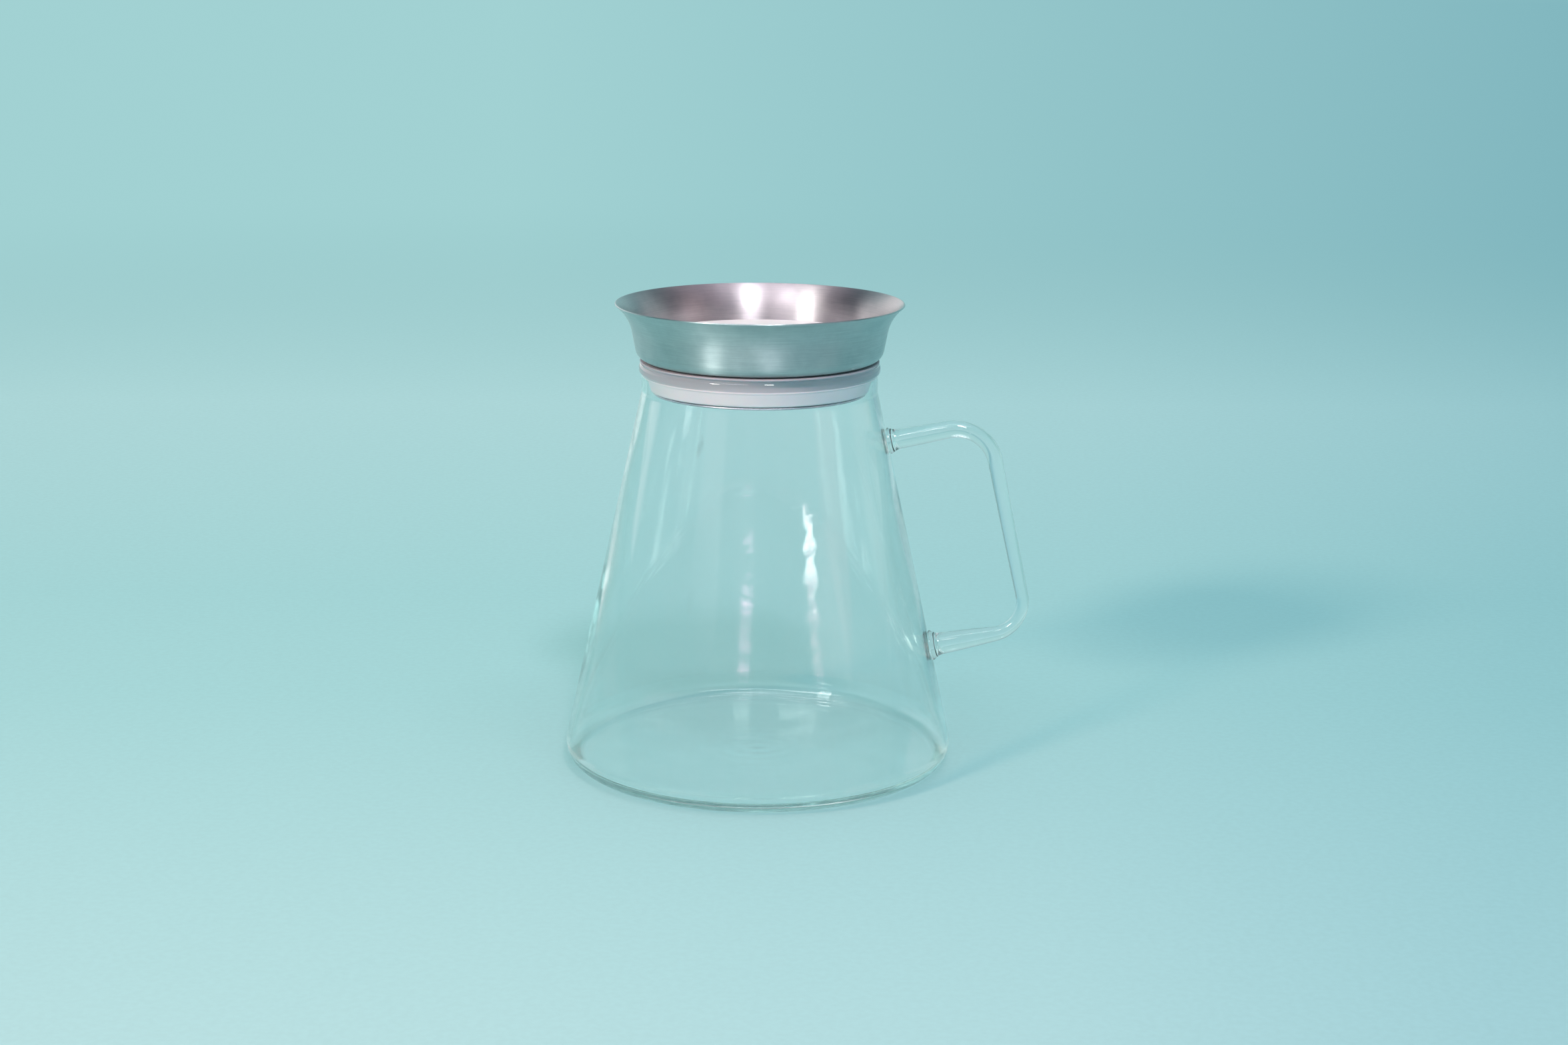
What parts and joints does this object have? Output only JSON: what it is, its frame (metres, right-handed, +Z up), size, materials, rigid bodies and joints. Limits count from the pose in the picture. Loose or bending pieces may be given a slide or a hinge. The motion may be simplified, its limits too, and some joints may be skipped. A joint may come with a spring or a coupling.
{
  "type": "tea server",
  "caption": "Conical clear glass tea server with a glass rod handle and a lift-out steel pouring lid with a flared lip, a white silicone gasket and a slotted white strainer.",
  "frame": {"origin": "centre of the flat underside of the jug's base", "axes": "+Z up along the jug's axis, +X towards the handle, +Y to the left of someone who holds the handle and looks at the jug"},
  "size_m": [0.169, 0.1412, 0.1691],
  "materials": {
    "vessel_glass": "clear blown borosilicate, fire polished",
    "handle_glass": "clear drawn rod, fused on",
    "bowl_steel": "spun, brushed round its axis",
    "sleeve_steel": "turned, satin",
    "gasket_silicone": "matte white silicone",
    "strainer_plastic": "moulded, matte white"
  },
  "bodies": {
    "jug": {"glass_vessel": "vessel_glass", "handle": "handle_glass"},
    "lid": {"lid_bowl": "bowl_steel", "lid_sleeve": "sleeve_steel", "lid_gasket": "gasket_silicone"},
    "strainer": {"strainer": "strainer_plastic"}
  },
  "joints": [
    {"name": "lid_lift", "type": "slide", "parent": "jug", "child": "lid", "axis": [0, 0, 1], "range_m": [0, 0.05]},
    {"name": "strainer_lift", "type": "slide", "parent": "lid", "child": "strainer", "axis": [0, 0, 1], "range_m": [0, 0.04]}
  ]
}
